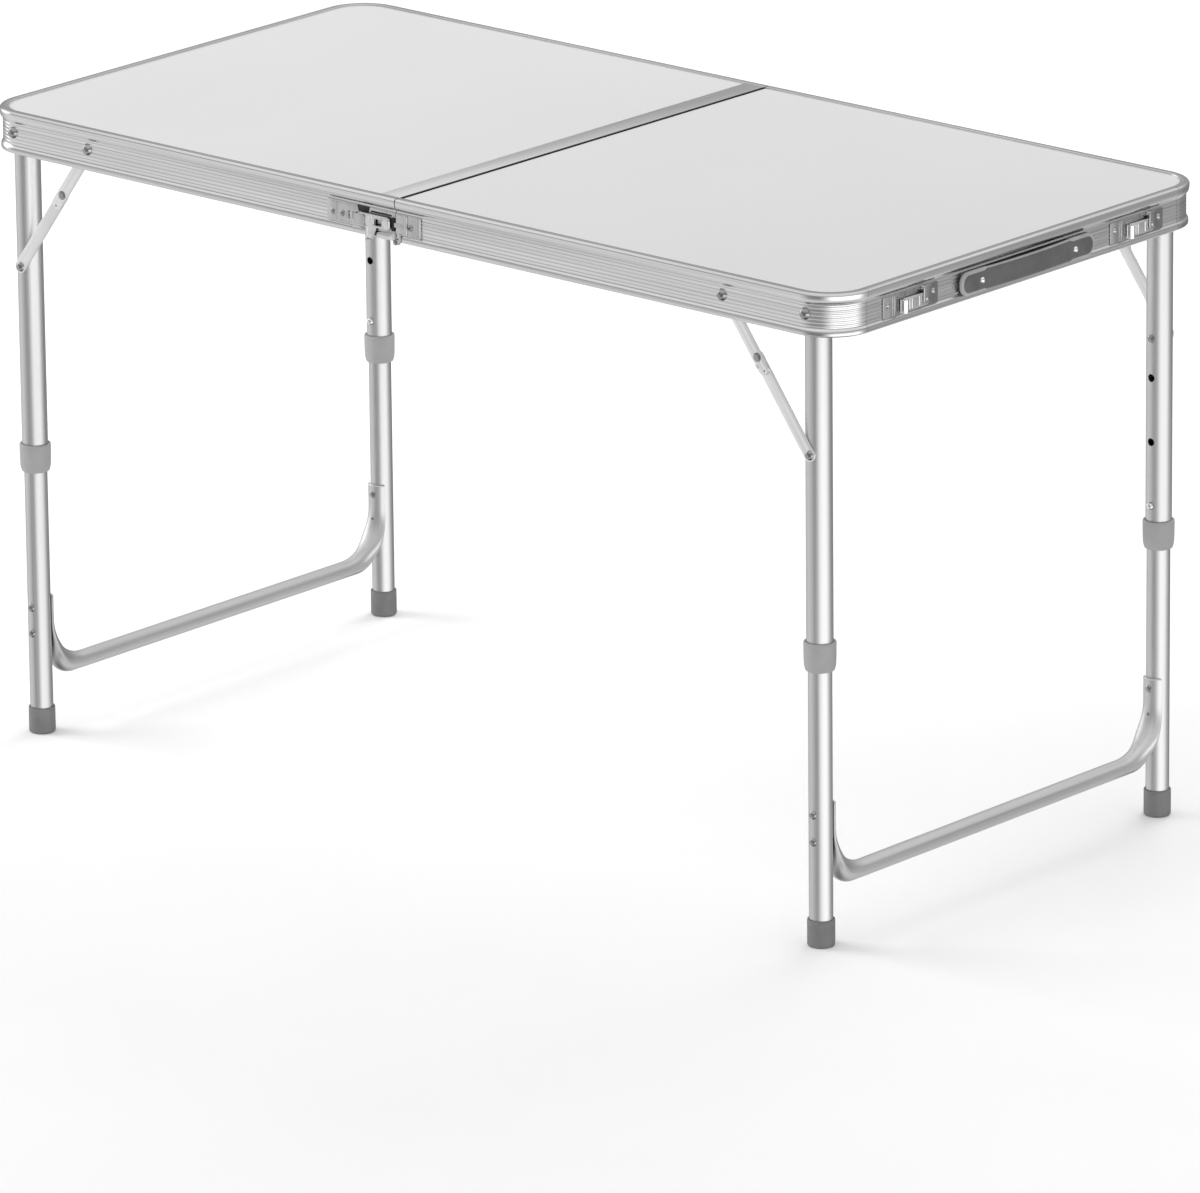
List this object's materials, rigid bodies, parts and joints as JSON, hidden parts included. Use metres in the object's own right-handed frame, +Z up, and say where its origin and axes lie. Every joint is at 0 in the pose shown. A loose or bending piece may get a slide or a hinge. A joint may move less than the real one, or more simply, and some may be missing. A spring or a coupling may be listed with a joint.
{
  "type": "folding table",
  "caption": "Portable folding table with a two-part hinged top in a ribbed metal rim, folding leg frames with telescopic feet, locking braces and a carrying handle.",
  "frame": {"origin": "on the floor, under the middle of the centre seam of the open table", "axes": "+X along the length towards the end with the carrying handle, +Y across the width to the back, +Z up"},
  "size_m": [1.2095, 0.609, 0.7],
  "materials": {
    "panel": "smooth pale melamine laminate on thin fibreboard",
    "rim": "bright extruded aluminium with fine lengthwise ribs",
    "strip": "satin flat aluminium strip",
    "tube": "satin anodised aluminium tube, drawn lengthwise",
    "brace": "zinc-plated pressed steel strip",
    "rivet": "polished domed rivet heads",
    "lock": "zinc-plated pressed steel plate",
    "lever": "bright plated lever",
    "collar": "moulded mid grey plastic",
    "foot": "moulded dark grey plastic",
    "spring": "spring steel strip",
    "handle": "moulded dark grey plastic"
  },
  "bodies": {
    "top_left": {"panel_left": "panel", "rail_front_left": "rim", "rail_back_left": "rim", "rail_end_left": "rim", "seam_strip_left": "strip", "leg_pivot_rivets_left": "rivet", "brace_rail_rivets_left": "rivet", "lock_plate_front_left": "lock", "lock_plate_back_left": "lock", "lock_plate_rivets_left": "rivet", "hinge_pins": "rivet", "latch_catches": "lock"},
    "top_right": {"panel_right": "panel", "rail_front_right": "rim", "rail_back_right": "rim", "rail_end_right": "rim", "seam_strip_right": "strip", "leg_pivot_rivets_right": "rivet", "brace_rail_rivets_right": "rivet", "lock_plate_front_right": "lock", "lock_plate_back_right": "lock", "lock_plate_rivets_right": "rivet", "latch_bases": "lock", "handle_end_caps": "handle", "handle_strap": "handle", "handle_screws": "rivet"},
    "upper_legs_left": {"upper_leg_front_left": "tube", "upper_leg_back_left": "tube", "collars_left": "collar", "brace_leg_rivets_left": "rivet"},
    "lower_legs_left": {"lower_leg_front_left": "tube", "lower_leg_back_left": "tube", "feet_left": "foot", "crossbar_left": "tube", "crossbar_rivets_left": "rivet", "button_springs_left": "spring"},
    "upper_links_left": {"brace_uppers_left": "brace", "brace_elbow_rivets_left": "rivet"},
    "lower_links_left": {"brace_lowers_left": "brace"},
    "button_front_left": {"snap_button_front_left": "lever"},
    "button_back_left": {"snap_button_back_left": "lever"},
    "upper_legs_right": {"upper_leg_front_right": "tube", "upper_leg_back_right": "tube", "collars_right": "collar", "brace_leg_rivets_right": "rivet"},
    "lower_legs_right": {"lower_leg_front_right": "tube", "lower_leg_back_right": "tube", "feet_right": "foot", "crossbar_right": "tube", "crossbar_rivets_right": "rivet", "button_springs_right": "spring"},
    "upper_links_right": {"brace_uppers_right": "brace", "brace_elbow_rivets_right": "rivet"},
    "lower_links_right": {"brace_lowers_right": "brace"},
    "button_front_right": {"snap_button_front_right": "lever"},
    "button_back_right": {"snap_button_back_right": "lever"},
    "lever_front": {"lock_lever_front": "lever"},
    "arm_front": {"latch_arm_front": "lever"},
    "lever_back": {"lock_lever_back": "lever"},
    "arm_back": {"latch_arm_back": "lever"}
  },
  "joints": [
    {"name": "centre_fold", "type": "hinge", "parent": "top_left", "child": "top_right", "pos_m": [0, 0, 0.654], "axis": [0, 1, 0], "range_deg": [0, 75]},
    {"name": "leg_fold_left", "type": "hinge", "parent": "top_left", "child": "upper_legs_left", "pos_m": [-0.555, 0, 0.677], "axis": [0, -1, 0], "range_deg": [0, 90]},
    {"name": "leg_slide_left", "type": "slide", "parent": "upper_legs_left", "child": "lower_legs_left", "axis": [0, 0, 1], "range_m": [0, 0.14]},
    {"name": "upper_link_turn_left", "type": "hinge", "parent": "top_left", "child": "upper_links_left", "pos_m": [-0.445, 0, 0.677], "axis": [0, 1, 0], "range_deg": [0, 53.76]},
    {"name": "lower_link_turn_left", "type": "hinge", "parent": "upper_legs_left", "child": "lower_links_left", "pos_m": [-0.555, 0, 0.527], "axis": [0, -1, 0], "range_deg": [0, 36.26]},
    {"name": "button_press_front_left", "type": "slide", "parent": "upper_legs_left", "child": "button_front_left", "axis": [0, 1, 0], "range_m": [-0.0035, 0], "stiffness_N_per_m": 600, "springref_m": 0.002},
    {"name": "button_press_back_left", "type": "slide", "parent": "upper_legs_left", "child": "button_back_left", "axis": [0, -1, 0], "range_m": [-0.0035, 0], "stiffness_N_per_m": 600, "springref_m": 0.002},
    {"name": "leg_fold_right", "type": "hinge", "parent": "top_right", "child": "upper_legs_right", "pos_m": [0.555, 0, 0.677], "axis": [0, 1, 0], "range_deg": [0, 90]},
    {"name": "leg_slide_right", "type": "slide", "parent": "upper_legs_right", "child": "lower_legs_right", "axis": [0, 0, 1], "range_m": [0, 0.14]},
    {"name": "upper_link_turn_right", "type": "hinge", "parent": "top_right", "child": "upper_links_right", "pos_m": [0.445, 0, 0.677], "axis": [0, -1, 0], "range_deg": [0, 53.76]},
    {"name": "lower_link_turn_right", "type": "hinge", "parent": "upper_legs_right", "child": "lower_links_right", "pos_m": [0.555, 0, 0.527], "axis": [0, 1, 0], "range_deg": [0, 36.26]},
    {"name": "button_press_front_right", "type": "slide", "parent": "upper_legs_right", "child": "button_front_right", "axis": [0, 1, 0], "range_m": [-0.0035, 0], "stiffness_N_per_m": 600, "springref_m": 0.002},
    {"name": "button_press_back_right", "type": "slide", "parent": "upper_legs_right", "child": "button_back_right", "axis": [0, -1, 0], "range_m": [-0.0035, 0], "stiffness_N_per_m": 600, "springref_m": 0.002},
    {"name": "lock_lever_lift_front", "type": "hinge", "parent": "top_left", "child": "lever_front", "pos_m": [-0.047, -0.301, 0.6725], "axis": [0, -1, 0], "range_deg": [0, 18], "stiffness_Nm_per_rad": 0.3, "springref_deg": -17.19},
    {"name": "lock_lever_lift_back", "type": "hinge", "parent": "top_left", "child": "lever_back", "pos_m": [-0.047, 0.301, 0.6725], "axis": [0, -1, 0], "range_deg": [0, 18], "stiffness_Nm_per_rad": 0.3, "springref_deg": -17.19},
    {"name": "latch_arm_swing_front", "type": "hinge", "parent": "top_right", "child": "arm_front", "pos_m": [0.6, -0.161, 0.672], "axis": [1, 0, 0], "range_deg": [0, 90]},
    {"name": "latch_arm_swing_back", "type": "hinge", "parent": "top_right", "child": "arm_back", "pos_m": [0.6, 0.203, 0.672], "axis": [1, 0, 0], "range_deg": [0, 90]}
  ],
  "couplings": [
    {"joint": "upper_link_turn_left", "follows": "leg_fold_left", "ratio": 0.59718},
    {"joint": "lower_link_turn_left", "follows": "leg_fold_left", "ratio": 0.40282},
    {"joint": "upper_link_turn_right", "follows": "leg_fold_right", "ratio": 0.59718},
    {"joint": "lower_link_turn_right", "follows": "leg_fold_right", "ratio": 0.40282}
  ]
}
